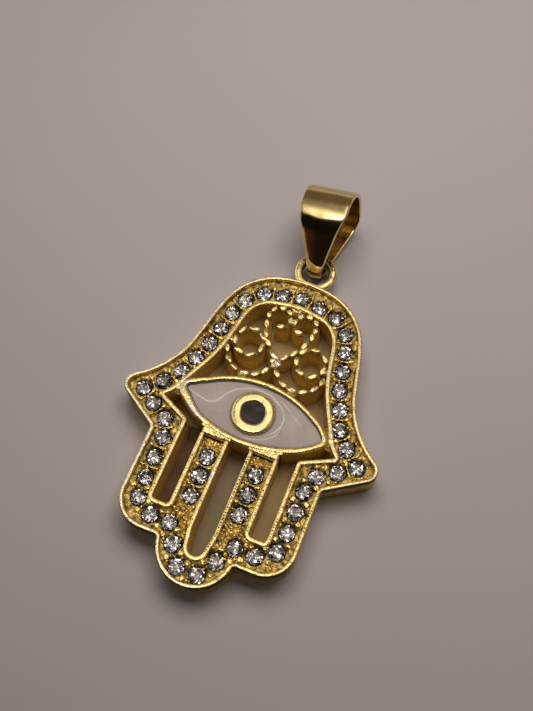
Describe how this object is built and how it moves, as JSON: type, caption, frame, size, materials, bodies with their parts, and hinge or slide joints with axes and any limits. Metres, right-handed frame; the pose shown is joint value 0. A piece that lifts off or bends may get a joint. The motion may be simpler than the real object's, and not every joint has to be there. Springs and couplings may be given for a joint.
{
  "type": "hamsa pendant",
  "caption": "Hamsa hand pendant: a flat casting with a sunken stone-set border, an enamel eye, beaded scrollwork in the palm, slotted fingers and a folded bail on its top loop.",
  "frame": {"origin": "on the surface it lies on, under the middle of the whole pendant", "axes": "+X across the hand to the viewer's right, +Y along the hand towards the bail, +Z out of the front face"},
  "size_m": [0.0208, 0.0346, 0.0062],
  "materials": {
    "gold": "polished yellow gold plate, darker and satin in the recesses",
    "enamel_white": "pale pearl-grey glossy enamel",
    "enamel_black": "black glossy enamel",
    "stone": "clear faceted round stones"
  },
  "bodies": {
    "pendant": {"hand": "gold", "eye_inlay": "enamel_white", "pupil": "enamel_black"},
    "bail": {"bail": "gold"}
  },
  "joints": [
    {"name": "bail_swing", "type": "hinge", "parent": "pendant", "child": "bail", "pos_m": [-0.00015, 0.01176, 0.0013], "axis": [0.9945, 0.1045, 0], "range_deg": [-29, 45]}
  ]
}
